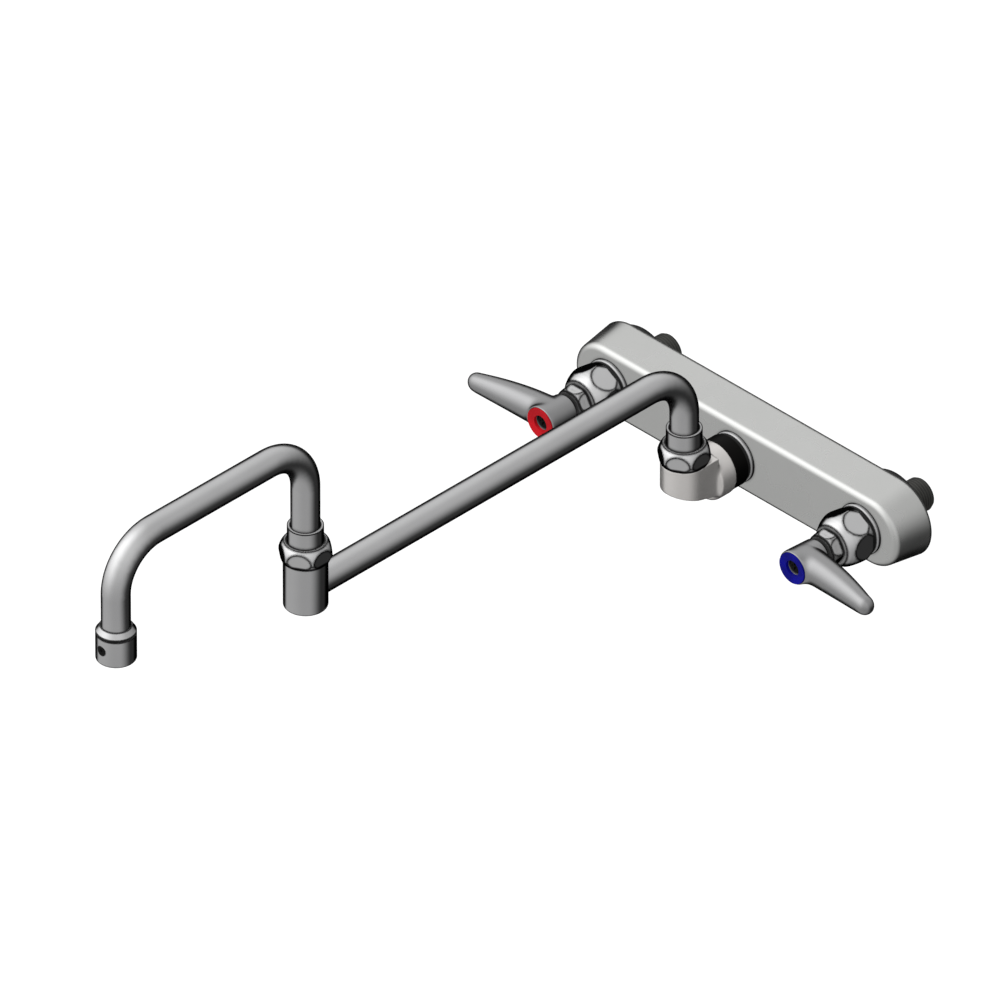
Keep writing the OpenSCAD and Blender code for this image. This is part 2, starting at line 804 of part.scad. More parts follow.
module outer_arm_tube() {
    color("silver") difference() {
        outer_arm(tube_d, 0);
        outer_arm(tube_bore_d, cut);
    }
}

module joint_barrel() {
    seat = barrel_d / 2 * arm_seat_share;
    color("silver") difference() {
        translate([0, joint_y, 0])
            round_rod(barrel_d, barrel_floor_z, barrel_top_z, barrel_edge_r, barrel_edge_r);
        translate([0, joint_y, barrel_top_z]) swivel_socket(barrel_h - barrel_floor_t);
        run(tube_d + 2 * braze_gap, joint_y + seat + barrel_d, inner_z, barrel_d);
        run(tube_bore_d, joint_y + seat + cut, inner_z, seat + cut);
    }
}

module outlet_tip() {
    neck_d = tip_d - 2 * tip_groove_depth;
    groove_top = tip_h + tip_groove_h;
    color("silver") translate([0, tip_y, tip_rim_z]) difference() {
        union() {
            round_rod(tip_d, 0, tip_h, elbow_edge_r, thread_gap);
            rod(neck_d, tip_h - cut, groove_top + cut);
            translate([0, 0, groove_top]) cylinder(d1 = tip_d, d2 = tip_collar_top_d, h = tip_collar_h);
        }
        rod(tube_d + 2 * braze_gap, tip_tube_seat, tip_top + cut);
        rod(tube_bore_d, 0, tip_top);
        rod(aerator_d + 2 * thread_gap, -cut, tip_tube_seat - cut);
        translate([0, 0, tip_screw_z]) rotate([90, 0, 0])
            cylinder(d = tip_screw_d + 2 * thread_gap, h = tip_d);
    }
}

module tip_set_screw() {
    foot = aerator_d / 2 + thread_gap;
    head = foot + tip_screw_l;
    color("dimgray") translate([0, tip_y, tip_rim_z + tip_screw_z]) rotate([90, 0, 0]) difference() {
        rod(tip_screw_d, foot, head);
        hex_rod(tip_screw_socket_af, head - tip_screw_socket_depth, tip_d, 0);
    }
}

module aerator_gasket() {
    seat = tip_tube_seat - cut;
    color("black") translate([0, tip_y, tip_rim_z])
        tube(aerator_d, tube_bore_d, seat - aerator_gasket_t, seat);
}

// Cup with a drilled plate that breaks the water up
module aerator_insert() {
    top = tip_tube_seat - cut - aerator_gasket_t;
    color("white") translate([0, tip_y, tip_rim_z]) difference() {
        rod(aerator_d, top - aerator_l, top);
        rod(aerator_d - 2 * aerator_wall, top - aerator_l - cut, top - aerator_plate_t);
        for (i = [0:aerator_hole_count - 1])
            rotate([0, 0, 360 * i / aerator_hole_count])
                translate([aerator_d / 2 * aerator_hole_ring_share, 0, 0])
                    rod(aerator_hole_d, 0, top + cut);
    }
}

// Disc with square meshes across the mouth of the aerator
module aerator_screen() {
    screen_r = aerator_d / 2 - aerator_wall - slide_gap;
    foot = tip_tube_seat - cut - aerator_gasket_t - aerator_l;
    n = floor((screen_r - screen_pitch) / screen_pitch);
    color("gray") translate([0, tip_y, tip_rim_z + foot]) difference() {
        rod(2 * screen_r, 0, screen_t);
        for (i = [-n:n], k = [-n:n])
            if (norm([i, k]) * screen_pitch + screen_hole_w < screen_r)
                translate([i * screen_pitch - screen_hole_w / 2, k * screen_pitch - screen_hole_w / 2, -cut])
                    cube([screen_hole_w, screen_hole_w, screen_t + 2 * cut]);
    }
}

valve_body();
shank(-1);  // hot_shank
shank(1);  // cold_shank
wall_washer(-1);  // hot_wall_washer
wall_washer(1);  // cold_wall_washer
valve_seat(-1);  // hot_valve_seat
valve_seat(1);  // cold_valve_seat
bonnet_ring(-1);  // hot_bonnet_ring
bonnet_ring(1);  // cold_bonnet_ring
bonnet_gasket(-1);  // hot_bonnet_gasket
bonnet_gasket(1);  // cold_bonnet_gasket
bonnet(-1);  // hot_bonnet
bonnet(1);  // cold_bonnet
packing(-1);  // hot_packing
packing(1);  // cold_packing
packing_nut(-1);  // hot_packing_nut
packing_nut(1);  // cold_packing_nut
spindle(-1);  // hot_spindle
spindle(1);  // cold_spindle
handle(-1);  // hot_handle
handle(1);  // cold_handle
handle_screw(-1);  // hot_handle_screw
handle_screw(1);  // cold_handle_screw
index_ring(-1);  // hot_index_ring
index_ring(1);  // cold_index_ring
valve_carrier(-1);  // hot_valve_carrier
valve_carrier(1);  // cold_valve_carrier
seat_washer(-1);  // hot_seat_washer
seat_washer(1);  // cold_seat_washer
seat_screw(-1);  // hot_seat_screw
seat_screw(1);  // cold_seat_screw
outlet_ring();
outlet_gasket();
outlet_lock_ring();
outlet_nipple();
outlet_elbow();
base_swivel_nut();
base_ferrule();
base_o_ring();
base_retaining_ring();
inner_arm_tube();
joint_barrel();
joint_swivel_nut();
joint_ferrule();
joint_o_ring();
joint_retaining_ring();
outer_arm_tube();
outlet_tip();
tip_set_screw();
aerator_gasket();
aerator_insert();
aerator_screen();
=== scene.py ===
import json
import math

import bpy
import numpy as np
from mathutils import Matrix, Vector

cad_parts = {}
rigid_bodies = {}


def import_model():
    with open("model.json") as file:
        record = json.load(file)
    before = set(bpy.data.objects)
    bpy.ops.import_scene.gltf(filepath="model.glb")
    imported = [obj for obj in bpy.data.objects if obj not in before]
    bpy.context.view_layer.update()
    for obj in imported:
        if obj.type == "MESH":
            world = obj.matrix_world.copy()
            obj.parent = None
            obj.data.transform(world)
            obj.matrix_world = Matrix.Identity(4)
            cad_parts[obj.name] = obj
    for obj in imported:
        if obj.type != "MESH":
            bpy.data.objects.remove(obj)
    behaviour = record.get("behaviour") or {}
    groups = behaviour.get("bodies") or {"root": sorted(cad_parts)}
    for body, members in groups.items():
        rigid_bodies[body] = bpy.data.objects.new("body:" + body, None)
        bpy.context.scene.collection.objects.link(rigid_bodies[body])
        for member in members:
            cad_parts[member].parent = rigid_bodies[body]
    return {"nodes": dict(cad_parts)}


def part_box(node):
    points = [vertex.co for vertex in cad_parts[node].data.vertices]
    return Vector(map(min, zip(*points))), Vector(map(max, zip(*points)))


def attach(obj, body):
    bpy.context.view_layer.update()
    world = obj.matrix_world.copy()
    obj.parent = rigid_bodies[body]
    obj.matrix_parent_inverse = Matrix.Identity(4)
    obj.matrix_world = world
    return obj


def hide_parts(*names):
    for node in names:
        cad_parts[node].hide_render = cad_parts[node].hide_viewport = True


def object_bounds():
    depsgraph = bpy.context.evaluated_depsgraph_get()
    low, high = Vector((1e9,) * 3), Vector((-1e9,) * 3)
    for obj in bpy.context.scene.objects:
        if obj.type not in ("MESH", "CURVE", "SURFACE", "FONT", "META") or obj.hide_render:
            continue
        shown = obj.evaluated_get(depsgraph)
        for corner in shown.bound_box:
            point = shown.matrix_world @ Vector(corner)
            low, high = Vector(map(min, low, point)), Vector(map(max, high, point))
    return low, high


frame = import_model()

cad_low, cad_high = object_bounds()
NODES = frame["nodes"]
SIDES = ("hot", "cold")

# Camera: the photo is an isometric view, so a very long lens looks along that direction
LENS = 1400
SENSOR = 36
CAMERA_DISTANCE = 22.305
CLIP_NEAR = 1
CLIP_FAR = 100
AIM_RIGHT = -0.15493
AIM_UP = -0.03708

# Directions of the camera: to the right in the picture, and from the object back to the camera
RIGHT = Vector((1, 1, 0)).normalized()
BACK = Vector((1, -1, 1)).normalized()

# World and floor: light on the object, brightness for the rays that see them, and the floor's grey and place
WORLD_LIGHT = 0.62
WORLD_SHOWN = 1
FLOOR_SHOWN = 0.72
FLOOR_COLOR = 0.35
FLOOR_DROP = 0.30
FLOOR_SIZE = 30

# Soft lamps, both of one size and at one distance
LAMP_DISTANCE = 3
LAMP_SIZE = 2.2

# Brightness of the studio tent's corners, at its hot side and at its cold side
TENT_RADIUS = 4
TENT_FRONT_TOP = (1.4, 0.70)
TENT_BACK_TOP = (0.69, 0.50)
TENT_FRONT_LOW = (0.44, 0.38)
TENT_BACK_LOW = (0.03, 0.03)

# Where the tent's brightness changes, in parts of its radius: across, backwards and upwards
TENT_ACROSS = (-0.5, 0.5)
TENT_BACKWARDS_TOP = (-0.55, 0.25)
TENT_BACKWARDS_LOW = (-0.5, 0.5)
TENT_UPWARDS = (-0.6, 0.75)

# Cosines between which the tent gets dark about the direction in which the camera looks
TENT_BEHIND = (0.45, 0.72)
TENT_BEHIND_LEVEL = 0.01

# Cast pieces: voxel of the remesh, passes of smoothing, and passes between two readings of the normals
CAST_VOXEL = 0.0004
HANDLE_PASSES = 500
ELBOW_PASSES = 160
UNDERSIDE_PASSES = 60
EVEN_PASSES = 10
NORMAL_STEPS = 10

# Share of a full step that a pass takes, and the rate at which outer edges wear down
PASS_STEP = 0.5
HANDLE_WEAR = 0.12
ELBOW_WEAR = 0.05

# Radii inside which the bores and seats stay true, and the width over which smoothing sets in
HUB_KEEP_R = 0.0102
SOCKET_KEEP_R = 0.0126
NIPPLE_KEEP_R = 0.0105
KEEP_BLEND = 0.0008

# Elbow: top of its cup, and depths below it at which smoothing starts and is full
CUP_RIM_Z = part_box("outlet_elbow")[1].z
RIM_DEPTHS = (0.001, 0.004)

# Rounded underside of the elbow: its fade along the neck, and the heights between which it fades upwards
UNDERSIDE_REACH = 0.008
UNDERSIDE_HEIGHTS = (0.006, 0.010)

# Pipe thread of the supply shanks: the flank is the share of a half turn in which the groove gets deep
THREAD_PITCH = 0.00181
THREAD_DEPTH = 0.0009
THREAD_FLANK = (0.15, 0.85)
THREAD_STEPS = 10
THREAD_START = 0.0015
SHANK_BORE_R = 0.0065

# Rubber wall washers: how far they bulge beyond their free size, and their play round the shank
WASHER_BULGE = 0.0005
WASHER_PLAY = 0.0002
WASHER_RIM_STEPS = 8

# Turned meshes: sides of a round, and the turn of the surface at which a new face starts
ROUND_SIDES = 96
TURNED_ANGLE = math.radians(50)

# Solids from CAD: distance at which points are joined, and turns that make a face, a flat and a broken edge
WELD_REACH = 0.00002
FACE_ANGLE = math.radians(18)
FLAT_ANGLE = math.radians(0.2)
BEVEL_ANGLE = math.radians(35)
BEVEL_SEGMENTS = 3
BODY_BEVEL = 0.0008

# Reach of the dark line along an edge, and the cosines of the turns at which it is full and at which it ends
BODY_LINE_REACH = 0.0030
TRIM_LINE_REACH = 0.0024
FITTING_LINE_REACH = 0.0012
SOFT_LINE = (0.991, 0.9987)
HARD_LINE = (0.94, 0.985)

# Painted shade: openness of a corner at which it is full and at which it ends, and its heights and tone
# round a nut
OPENNESS = (0.45, 0.9)
FOOT_SHADE_HEIGHTS = (0.0014, 0.0026)
FOOT_SHADE_TONE = 0.04

# Noise of the surfaces: grains to the metre of the skin and of the tone, and layers of detail
METAL_SKIN = 420
METAL_CLOUD = 38
METAL_DETAIL = 3
PLASTIC_SKIN = 700
PLASTIC_CLOUD = 120
PLASTIC_DETAIL = 4

# Values between which the noise takes full effect, and its effect on gloss and relief
NOISE_RANGE = (0.3, 0.7)
MOTTLE_RANGE = (0.35, 0.65)
METAL_GLOSS_VARY = 0.1
METAL_BUMP = 0.5
PLASTIC_GLOSS_VARY = 0.15
PLASTIC_BUMP = 0.6
PLASTIC_RELIEF = 0.00003

# Rays of each look for an edge or a corner
LOOK_SAMPLES = 8


def make_camera():
    """Camera of the photo, set off so that the object stands at its place in the frame."""
    data = bpy.data.cameras.new("camera")
    data.lens = LENS
    data.sensor_width = SENSOR
    data.clip_start = CLIP_NEAR
    data.clip_end = CLIP_FAR
    camera = bpy.data.objects.new("camera", data)
    bpy.context.scene.collection.objects.link(camera)
    up = BACK.cross(RIGHT)
    camera.location = RIGHT * AIM_RIGHT + up * AIM_UP + BACK * CAMERA_DISTANCE
    camera.rotation_euler = Matrix((RIGHT, up, BACK)).transposed().to_euler()
    bpy.context.scene.camera = camera


class Graph:
    """A node tree with short ways to add and link nodes."""

    # Sockets of a mix node for colours, whose names are shared with its other sockets
    MIX_A = 6
    MIX_B = 7
    MIX_RESULT = 2

    def __init__(self, owner):
        owner.use_nodes = True
        self.tree = owner.node_tree
        self.tree.nodes.clear()

    def add(self, kind, inputs=(), **settings):
        node = self.tree.nodes.new(kind)
        for key, value in settings.items():
            setattr(node, key, value)
        for key, value in dict(inputs).items():
            self.set(node.inputs[key], value)
        return node

    def set(self, socket, value):
        if isinstance(value, bpy.types.NodeSocket):
            self.tree.links.new(value, socket)
        else:
            socket.default_value = value

    def math(self, operation, a, b):
        return self.add("ShaderNodeMath", {0: a, 1: b}, operation=operation).outputs[0]

    def dot(self, a, b):
        return self.add("ShaderNodeVectorMath", {0: a, 1: b}, operation="DOT_PRODUCT").outputs["Value"]

    def noise(self, place, scale, detail):
        return self.add("ShaderNodeTexNoise", {"Vector": place, "Scale": scale, "Detail": detail}).outputs[0]

    def ramp(self, value, low, high, to_low, to_high):
        """Smooth step of a value, from one level below the low end to another above the high end."""
        return self.add(
            "ShaderNodeMapRange",
            {"Value": value, "From Min": low, "From Max": high, "To Min": to_low, "To Max": to_high},
            interpolation_type="SMOOTHSTEP",
        ).outputs["Result"]

    def mix(self, factor, a, b, blend="MIX"):
        node = self.add("ShaderNodeMix", data_type="RGBA", blend_type=blend)
        self.set(node.inputs["Factor"], factor)
        self.set(node.inputs[self.MIX_A], a)
        self.set(node.inputs[self.MIX_B], b)
        return node.outputs[self.MIX_RESULT]

    def glow(self, strength):
        return self.add("ShaderNodeEmission", {"Color": grey(1), "Strength": strength}).outputs[0]

    def surface(self, shader):
        self.add("ShaderNodeOutputMaterial", {"Surface": shader})


def grey(value):
    return (value, value, value, 1)


def spread(value, share):
    """The value less a share of it, and the value with that share more."""
    return value * (1 - share), value * (1 + share)


def new_material(name):
    """A material and its empty graph."""
    material = bpy.data.materials.new(name)
    return material, Graph(material)


def shown_rays(g):
    """1 for the rays that see the background itself: camera, glossy and transmission rays."""
    path = g.add("ShaderNodeLightPath").outputs
    seen = g.math("MAXIMUM", path["Is Camera Ray"], path["Is Glossy Ray"])
    return g.math("MAXIMUM", seen, path["Is Transmission Ray"])


def make_world():
    """Even light from all round, behind which the world looks white."""
    world = bpy.data.worlds.new("studio")
    bpy.context.scene.world = world
    g = Graph(world)
    strength = g.ramp(shown_rays(g), 0, 1, WORLD_LIGHT, WORLD_SHOWN)
    background = g.add("ShaderNodeBackground", {"Color": grey(1), "Strength": strength})
    g.add("ShaderNodeOutputWorld", {"Surface": background.outputs[0]})


def make_floor():
    """Pale floor that catches the shadow, and is open to a look from below."""
    bpy.ops.mesh.primitive_plane_add(size=FLOOR_SIZE, location=(0, 0, cad_low.z - FLOOR_DROP))
    floor = bpy.context.object
    floor.name = "floor"
    material, g = new_material("pale_floor")
    diffuse = g.add("ShaderNodeBsdfDiffuse", {"Color": grey(FLOOR_COLOR)}).outputs[0]
    glow = g.glow(g.ramp(shown_rays(g), 0, 1, 0, FLOOR_SHOWN))
    upper_side = g.add("ShaderNodeAddShader", {0: diffuse, 1: glow}).outputs[0]
    clear = g.add("ShaderNodeBsdfTransparent").outputs[0]
    from_below = g.add("ShaderNodeNewGeometry").outputs["Backfacing"]
    g.surface(g.add("ShaderNodeMixShader", {0: from_below, 1: upper_side, 2: clear}).outputs[0])
    floor.data.materials.append(material)


def make_tent():
    """Studio tent that only reflections see: eight corners of different brightness, and dark at the back."""
    bpy.ops.mesh.primitive_uv_sphere_add(segments=64, ring_count=32, radius=TENT_RADIUS)
    tent = bpy.context.object
    tent.name = "studio_tent"
    tent.visible_camera = False
    tent.visible_diffuse = False
    tent.visible_transmission = False
    tent.visible_volume_scatter = False
    tent.visible_shadow = False
    material, g = new_material("studio_tent")
    place = g.add("ShaderNodeTexCoord").outputs["Object"]
    way = g.add("ShaderNodeVectorMath", {0: place}, operation="NORMALIZE").outputs[0]
    x, y, z = g.add("ShaderNodeSeparateXYZ", {0: way}).outputs
    front_top = g.ramp(x, *TENT_ACROSS, *TENT_FRONT_TOP)
    back_top = g.ramp(x, *TENT_ACROSS, *TENT_BACK_TOP)
    front_low = g.ramp(x, *TENT_ACROSS, *TENT_FRONT_LOW)
    back_low = g.ramp(x, *TENT_ACROSS, *TENT_BACK_LOW)
    top = g.ramp(y, *TENT_BACKWARDS_TOP, front_top, back_top)
    low = g.ramp(y, *TENT_BACKWARDS_LOW, front_low, back_low)
    level = g.ramp(z, *TENT_UPWARDS, low, top)
    behind = g.ramp(g.dot(way, -BACK), *TENT_BEHIND, 1, TENT_BEHIND_LEVEL)
    g.surface(g.glow(g.math("MULTIPLY", level, behind)))
    tent.data.materials.append(material)


def make_lamp(name, direction, power):
    """Round soft lamp that shines on the object from a direction and isn't mirrored in it."""
    data = bpy.data.lights.new(name, "AREA")
    data.shape = "DISK"
    data.size = LAMP_SIZE
    data.energy = power
    lamp = bpy.data.objects.new(name, data)
    bpy.context.scene.collection.objects.link(lamp)
    lamp.location = direction.normalized() * LAMP_DISTANCE
    lamp.rotation_euler = direction.to_track_quat("Z", "Y").to_euler()
    lamp.visible_glossy = False


def edge_line(g, reach, turns):
    """1 on even ground and 0 along the edges, where the surface turns within the reach."""
    normal = g.add("ShaderNodeNewGeometry").outputs["Normal"]
    eased = g.add("ShaderNodeBevel", {"Radius": reach}, samples=LOOK_SAMPLES).outputs[0]
    return g.ramp(g.dot(normal, eased), *turns, 0, 1)


def metal(name, color, roughness, line=0.0, line_reach=FITTING_LINE_REACH, turns=SOFT_LINE,
          corner_shade=0.5, reach=0.003, cloud=0.04, relief=0.000002, metallic=1.0, foot=None):
    """Plated metal: cloudy tone, uneven gloss, faint orange peel, painted shade in corners, and painted dark
    lines along edges.
    """
    material, g = new_material(name)
    place = g.add("ShaderNodeTexCoord").outputs["Object"]
    fine = g.noise(place, METAL_SKIN, METAL_DETAIL)
    broad = g.noise(place, METAL_CLOUD, METAL_DETAIL)
    tone = g.ramp(broad, *NOISE_RANGE, 1 - cloud, 1)
    # Painted shade: ambient occlusion darkens the colour in closed corners and between parts
    occlusion = g.add("ShaderNodeAmbientOcclusion", {"Distance": reach}, samples=LOOK_SAMPLES)
    shade = g.math("MULTIPLY", tone, g.ramp(occlusion.outputs["AO"], *OPENNESS, 1 - corner_shade, 1))
    # Painted shade: the colour is darkened in a line along the edges, where the surface turns
    if line:
        kept = g.ramp(edge_line(g, line_reach, turns), 0, 1, 1 - line, 1)
        shade = g.math("MULTIPLY", shade, kept)
    # Painted shade round the foot of a nut: the colour darkens just above the height of the rim it stands in
    if foot is not None:
        height = g.add("ShaderNodeSeparateXYZ", {0: place}).outputs["Z"]
        foot_shade = g.ramp(height, foot + FOOT_SHADE_HEIGHTS[0], foot + FOOT_SHADE_HEIGHTS[1], FOOT_SHADE_TONE, 1)
        shade = g.math("MULTIPLY", shade, foot_shade)
    tint = g.add("ShaderNodeCombineColor", {0: shade, 1: shade, 2: shade}).outputs[0]
    base = g.mix(1.0, (*color, 1), tint, "MULTIPLY")
    gloss = g.ramp(broad, *NOISE_RANGE, *spread(roughness, METAL_GLOSS_VARY))
    bump = g.add("ShaderNodeBump", {"Height": fine, "Distance": relief, "Strength": METAL_BUMP})
    shader = g.add("ShaderNodeBsdfPrincipled", {
        "Base Color": base, "Metallic": metallic, "Roughness": gloss, "Normal": bump.outputs[0],
    })
    g.surface(shader.outputs[0])
    return material


def trim(name, foot=None):
    """Bright plating of the nuts and bonnets, with painted shade round the foot of those that stand in a
    cup.
    """
    return metal(name, (0.86, 0.86, 0.865), 0.08, line=0.95, line_reach=TRIM_LINE_REACH,
                 corner_shade=0.95, reach=0.005, relief=0.000001, foot=foot)


def plastic(name, color, roughness, vary=0.25, specular=0.5):
    """Rubber, plastic or soft packing: mottled colour with a fine uneven skin."""
    material, g = new_material(name)
    place = g.add("ShaderNodeTexCoord").outputs["Object"]
    fine = g.noise(place, PLASTIC_SKIN, PLASTIC_DETAIL)
    broad = g.noise(place, PLASTIC_CLOUD, PLASTIC_DETAIL)
    darker = tuple(c * (1 - vary) for c in color)
    base = g.mix(g.ramp(broad, *MOTTLE_RANGE, 0, 1), (*darker, 1), (*color, 1))
    gloss = g.ramp(fine, *NOISE_RANGE, *spread(roughness, PLASTIC_GLOSS_VARY))
    bump = g.add("ShaderNodeBump", {"Height": fine, "Distance": PLASTIC_RELIEF, "Strength": PLASTIC_BUMP})
    shader = g.add("ShaderNodeBsdfPrincipled", {
        "Base Color": base, "Roughness": gloss, "Normal": bump.outputs[0], "Specular IOR Level": specular,
    })
    g.surface(shader.outputs[0])
    return material


def dress(mesh, material):
    """Gives a mesh its one material, and smooth shading."""
    mesh.materials.clear()
    mesh.materials.append(material)
    mesh.polygons.foreach_set("use_smooth", np.ones(len(mesh.polygons), dtype=bool))
    mesh.update()


def split_faces(piece, angle):
    """Cuts a piece's shading where its surface turns by more than an angle."""
    split = piece.modifiers.new("faces", "EDGE_SPLIT")
    split.split_angle = angle


def break_edges(piece, width):
    """Rounds the sharp edges of a piece, once its flat faces are whole."""
    flat = piece.modifiers.new("flat_faces", "DECIMATE")
    flat.decimate_type = "DISSOLVE"
    flat.angle_limit = FLAT_ANGLE
    broken = piece.modifiers.new("broken_edges", "BEVEL")
    broken.width = width
    broken.segments = BEVEL_SEGMENTS
    broken.limit_method = "ANGLE"
    broken.angle_limit = BEVEL_ANGLE
    broken.use_clamp_overlap = True


def finish_node(name, material, bevel=0.0):
    """Gives a CAD node its material, and either broken edges or even shading on each of its faces."""
    piece = NODES[name]
    dress(piece.data, material)
    weld = piece.modifiers.new("weld", "WELD")
    weld.merge_threshold = WELD_REACH
    if bevel:
        break_edges(piece, bevel)
    else:
        split_faces(piece, FACE_ANGLE)
    normals = piece.modifiers.new("normals", "WEIGHTED_NORMAL")
    normals.keep_sharp = True


def new_piece(name, mesh, material, body, node):
    """Puts a mesh in the scene in place of a CAD node, on the same body."""
    dress(mesh, material)
    piece = bpy.data.objects.new(name, mesh)
    bpy.context.scene.collection.objects.link(piece)
    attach(piece, body)
    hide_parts(node)
    return piece


def centre(node):
    """Middle of a CAD node's box."""
    low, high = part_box(node)
    return (low + high) / 2


def remeshed(node):
    """The node's solid as an even mesh that can be smoothed."""
    copy = bpy.data.objects.new("remesh", NODES[node].data.copy())
    bpy.context.scene.collection.objects.link(copy)
    even = copy.modifiers.new("even", "REMESH")
    even.mode = "VOXEL"
    even.voxel_size = CAST_VOXEL
    even.adaptivity = 0
    bpy.context.view_layer.update()
    mesh = bpy.data.meshes.new_from_object(copy.evaluated_get(bpy.context.evaluated_depsgraph_get()))
    bpy.data.objects.remove(copy)
    return mesh


def vertex_normals(mesh, points):
    """Normals of the mesh once its vertices stand at the given points."""
    mesh.vertices.foreach_set("co", points.ravel())
    mesh.update()
    normals = np.empty(points.size)
    mesh.vertices.foreach_get("normal", normals)
    return normals.reshape(-1, 3)


def soften(mesh, weigh, passes, wear):
    """Laplacian smoothing: hollow corners fill up at the full rate, and outer edges wear at their own."""
    count = len(mesh.vertices)
    points = np.empty(count * 3)
    mesh.vertices.foreach_get("co", points)
    points = points.reshape(-1, 3)
    ends = np.empty(len(mesh.edges) * 2, dtype=np.int64)
    mesh.edges.foreach_get("vertices", ends)
    a, b = ends.reshape(-1, 2).T
    degree = np.maximum(np.bincount(np.concatenate((a, b)), minlength=count), 1)[:, None]
    weights = weigh(points)[:, None]
    for step in range(passes):
        if step % NORMAL_STEPS == 0:
            normals = vertex_normals(mesh, points)
        neighbours = np.stack([
            np.bincount(a, points[b, k], count) + np.bincount(b, points[a, k], count) for k in range(3)
        ], axis=1)
        move = neighbours / degree - points
        outward = (move * normals).sum(axis=1, keepdims=True)
        move = np.where(outward > 0, move, move * wear)
        points = points + PASS_STEP * weights * move
    mesh.vertices.foreach_set("co", points.ravel())
    mesh.update()


def rise(values, low, high):
    """Smooth step from 0 to 1 between two values."""
    t = np.clip((values - low) / (high - low), 0, 1)
    return t * t * (3 - 2 * t)


def beyond(distances, radius):
    """0 within a radius that stays true, and 1 clear of it."""
    return rise(distances, radius, radius + KEEP_BLEND)


def everywhere(points):
    return np.ones(len(points))


def make_handle(side, material):
    """Handle with its lever blended into the hub, as cast."""
    node = f"{side}_handle"
    screw = centre(f"{side}_handle_screw")

    def off_hub(points):
        return beyond(np.hypot(points[:, 0] - screw.x, points[:, 2] - screw.z), HUB_KEEP_R)

    mesh = remeshed(node)
    soften(mesh, off_hub, HANDLE_PASSES, HANDLE_WEAR)
    soften(mesh, everywhere, EVEN_PASSES, 1.0)
    new_piece(f"{side}_cast_handle", mesh, material, f"{side}_lever", node)


def make_elbow(material):
    """Outlet elbow with the soft inside corners and rounded underside of a casting."""
    swivel = centre("base_ferrule")
    neck_y = swivel.y + SOCKET_KEEP_R
    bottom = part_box("outlet_elbow")[0].z

    def outside(points):
        x, y, z = points.T
        off_swivel = beyond(np.hypot(x - swivel.x, y - swivel.y), SOCKET_KEEP_R)
        off_nipple = beyond(np.hypot(x - swivel.x, z), NIPPLE_KEEP_R)
        off_rim = rise(CUP_RIM_Z - z, *RIM_DEPTHS)
        return np.where(y > neck_y, off_nipple, off_swivel * off_rim)

    def underside(points):
        along = 1 - rise(points[:, 1], neck_y, neck_y + UNDERSIDE_REACH)
        return along * (1 - rise(points[:, 2] - bottom, *UNDERSIDE_HEIGHTS))

    mesh = remeshed("outlet_elbow")
    soften(mesh, outside, ELBOW_PASSES, ELBOW_WEAR)
    soften(mesh, underside, UNDERSIDE_PASSES, 1.0)
    soften(mesh, everywhere, EVEN_PASSES, 1.0)
    new_piece("cast_elbow", mesh, material, "base", "outlet_elbow")


def turned_mesh(name, middle, radius, y):
    """Closed mesh of rings round a line along Y, one to each row. Y falls along the outside of the piece."""
    turn = np.linspace(0, 2 * math.pi, ROUND_SIDES, endpoint=False)
    x = middle.x + radius * np.cos(turn)
    z = middle.z + radius * np.sin(turn)
    points = np.stack(np.broadcast_arrays(x, y, z), axis=-1)
    rings = len(points)
    faces = []
    for i in range(rings):
        this = i * ROUND_SIDES
        other = (i + 1) % rings * ROUND_SIDES
        for k in range(ROUND_SIDES):
            m = (k + 1) % ROUND_SIDES
            faces.append((this + k, this + m, other + m, other + k))
    mesh = bpy.data.meshes.new(name)
    mesh.from_pydata(points.reshape(-1, 3).tolist(), [], faces)
    return mesh


def make_washer(side, material):
    """Wall washer: rubber squeezed out round the body, with a full rim."""
    node = f"{side}_wall_washer"
    name = f"{side}_squeezed_washer"
    low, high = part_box(node)
    shank_low, shank_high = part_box(f"{side}_shank")
    middle = centre(node)
    half = (high.y - low.y) / 2
    hole_r = (shank_high.x - shank_low.x) / 2 + WASHER_PLAY
    rim_r = (high.x - low.x) / 2 + WASHER_BULGE - half
    turn = math.pi * (0.5 - np.arange(WASHER_RIM_STEPS + 1) / WASHER_RIM_STEPS)
    radius = np.concatenate(([hole_r, hole_r], rim_r + half * np.cos(turn)))
    y = np.concatenate(([low.y, high.y], middle.y + half * np.sin(turn)))
    mesh = turned_mesh(name, middle, radius[:, None], y[:, None])
    split_faces(new_piece(name, mesh, material, "base", node), TURNED_ANGLE)


def make_shank(side, material):
    """Supply shank with its pipe thread cut as a helix, plain where it stands in the body."""
    node = f"{side}_shank"
    name = f"{side}_threaded_shank"
    low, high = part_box(node)
    shank_r = (high.x - low.x) / 2
    rings = math.ceil((high.y - low.y) / THREAD_PITCH * THREAD_STEPS) + 1
    y = np.linspace(high.y, low.y, rings)[:, None]
    share = np.linspace(0, 1, ROUND_SIDES, endpoint=False)
    wave = np.abs((y / THREAD_PITCH - share) % 1 * 2 - 1)
    depth = rise(wave, *THREAD_FLANK) * rise(y, THREAD_START, THREAD_START + THREAD_PITCH)
    depth = THREAD_DEPTH * np.maximum(depth, rise(y, high.y - THREAD_PITCH, high.y))
    radius = np.concatenate((shank_r - depth, np.full_like(depth, SHANK_BORE_R)))
    mesh = turned_mesh(name, centre(node), radius, np.concatenate((y, y[::-1])))
    split_faces(new_piece(name, mesh, material, "base", node), TURNED_ANGLE)


bpy.context.scene.view_settings.view_transform = "Standard"
make_camera()
make_world()
make_floor()
make_tent()
make_lamp("key", Vector((-1, -1.2, 1.6)), 60)
make_lamp("fill", Vector((1.6, -1, 0.8)), 22)
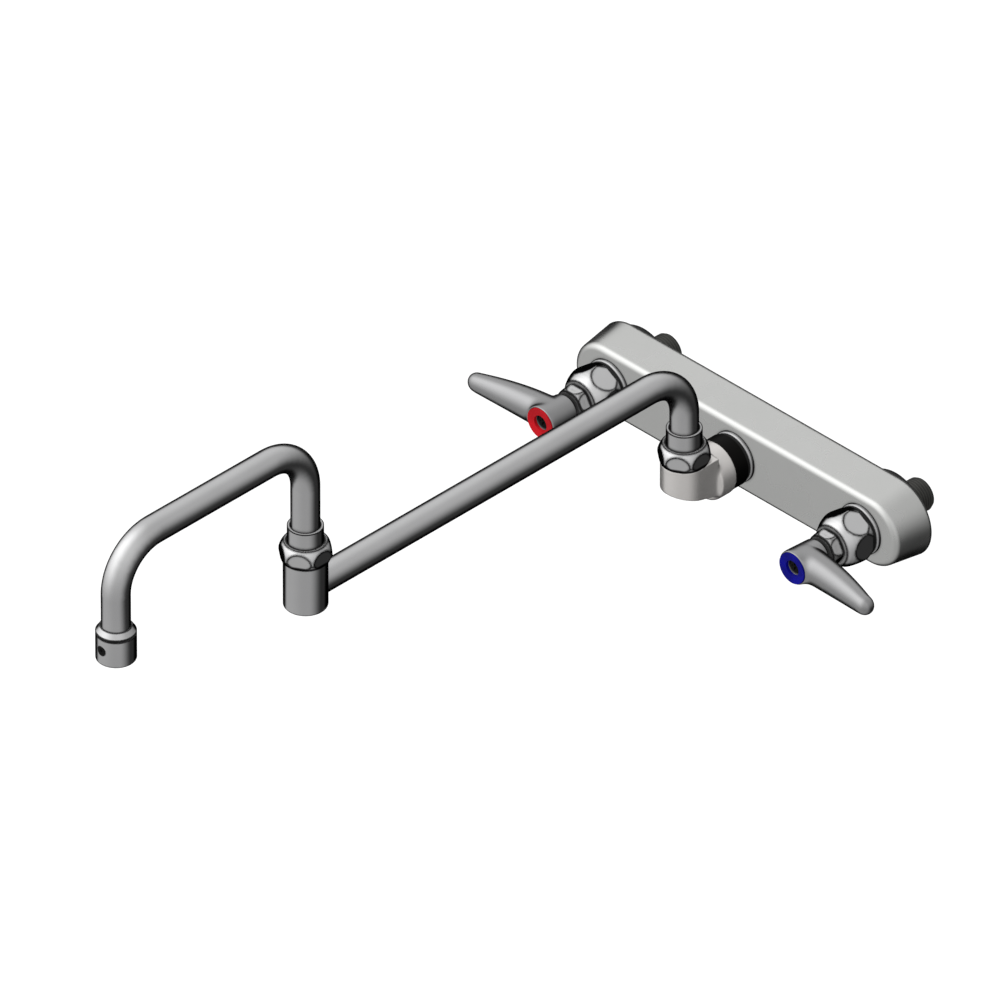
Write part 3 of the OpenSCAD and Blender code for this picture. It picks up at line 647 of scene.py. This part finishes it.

# Plated castings, tubes and fittings
# corner_shade and line paint shade into the colour: darker in closed corners and along the edges
body_metal = metal("body_chrome", (0.80, 0.805, 0.79), 0.27, line=0.9, line_reach=BODY_LINE_REACH,
                   turns=HARD_LINE, corner_shade=0.45, cloud=0.03, relief=0.0000015)
tube_metal = metal("tube_chrome", (0.76, 0.76, 0.765), 0.19, corner_shade=0.85, reach=0.004)
fitting_metal = metal("fitting_chrome", (0.76, 0.76, 0.765), 0.13, line=0.95, corner_shade=0.97)
ring_metal = metal("ring_chrome", (0.74, 0.74, 0.745), 0.12, line=0.95, corner_shade=0.97, reach=0.005)
handle_metal = metal("handle_chrome", (0.46, 0.46, 0.465), 0.24, corner_shade=0.85)
elbow_metal = metal("elbow_chrome", (0.95, 0.92, 0.895), 0.24, corner_shade=0.6, metallic=0.8)
trim_metal = trim("trim_chrome")

# Bare metals
shank_metal = metal("shank_metal", (0.085, 0.085, 0.08), 0.35, cloud=0.2)
dark_metal = metal("dark_steel", (0.012, 0.0115, 0.011), 0.45)
screw_metal = metal("screw_steel", (0.32, 0.32, 0.33), 0.3, line=0.7)
brass = metal("brass", (0.78, 0.60, 0.32), 0.28, corner_shade=0.97, reach=0.008)

# Rubber and plastics
rubber = plastic("rubber", (0.012, 0.012, 0.012), 0.6, specular=0.25)
red = plastic("index_red", (0.58, 0.008, 0.016), 0.4, vary=0.2, specular=0.1)
blue = plastic("index_blue", (0.002, 0.002, 0.27), 0.4, vary=0.3, specular=0.1)
ivory = plastic("packing_white", (0.85, 0.83, 0.76), 0.6, vary=0.08)
pale_plastic = plastic("aerator_plastic", (0.80, 0.80, 0.79), 0.45, vary=0.06)

finish_node("valve_body", body_metal, BODY_BEVEL)
for side, index_color in zip(SIDES, (red, blue)):
    make_shank(side, shank_metal)
    make_washer(side, rubber)
    make_handle(side, handle_metal)
    finish_node(f"{side}_index_ring", index_color)
    finish_node(f"{side}_bonnet_ring", ring_metal)
    finish_node(f"{side}_bonnet_gasket", rubber)
    finish_node(f"{side}_bonnet", trim_metal)
    finish_node(f"{side}_packing_nut", trim_metal)
    finish_node(f"{side}_handle_screw", dark_metal)
    finish_node(f"{side}_spindle", brass)
    finish_node(f"{side}_packing", ivory)
    finish_node(f"{side}_valve_seat", brass)
    finish_node(f"{side}_valve_carrier", brass)
    finish_node(f"{side}_seat_screw", brass)
    finish_node(f"{side}_seat_washer", rubber)
finish_node("outlet_ring", ring_metal)
finish_node("outlet_gasket", rubber)
finish_node("outlet_lock_ring", dark_metal)
finish_node("outlet_nipple", brass)
make_elbow(elbow_metal)
# Each swivel nut gets painted shade round its foot, above the rim of the cup or barrel it stands in
for place, rim_z in (("base", CUP_RIM_Z), ("joint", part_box("joint_barrel")[1].z)):
    finish_node(f"{place}_swivel_nut", trim(f"{place}_nut_chrome", rim_z))
    finish_node(f"{place}_ferrule", fitting_metal)
    finish_node(f"{place}_o_ring", rubber)
    finish_node(f"{place}_retaining_ring", screw_metal)
finish_node("inner_arm_tube", tube_metal)
finish_node("outer_arm_tube", tube_metal)
finish_node("joint_barrel", fitting_metal)
finish_node("outlet_tip", fitting_metal)
finish_node("tip_set_screw", dark_metal)
finish_node("aerator_gasket", rubber)
finish_node("aerator_insert", pale_plastic)
finish_node("aerator_screen", screw_metal)

# As in the photo, the pieces don't mirror each other, so only the studio tent shows in the metal
for piece in bpy.data.objects:
    if piece.type == "MESH" and piece.name != "studio_tent":
        piece.visible_glossy = False
